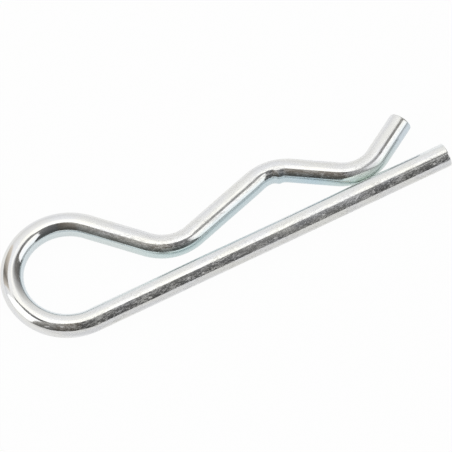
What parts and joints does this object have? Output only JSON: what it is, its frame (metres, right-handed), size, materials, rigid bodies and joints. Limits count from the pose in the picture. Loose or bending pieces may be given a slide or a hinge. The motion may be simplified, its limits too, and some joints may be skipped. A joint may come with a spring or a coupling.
{
  "type": "hitch r clip pin",
  "caption": "Spring wire R-clip that locks a hitch pin: a straight leg through the pin's cross hole, a humped leg over the pin and a round bow.",
  "frame": {"origin": "where the axis of the hitch pin that the clip locks crosses the axis of the straight leg", "axes": "+X along the straight leg to its tip, +Y to the humped leg, +Z along the hitch pin; the clip lies flat in the XY plane"},
  "size_m": [0.0769, 0.0227, 0.004],
  "materials": {
    "zinc_plated_wire": "bright zinc plating with a clear blue passivate, over cold drawn spring steel"
  },
  "bodies": {
    "root": {"spring_wire": "zinc_plated_wire"}
  },
  "joints": []
}
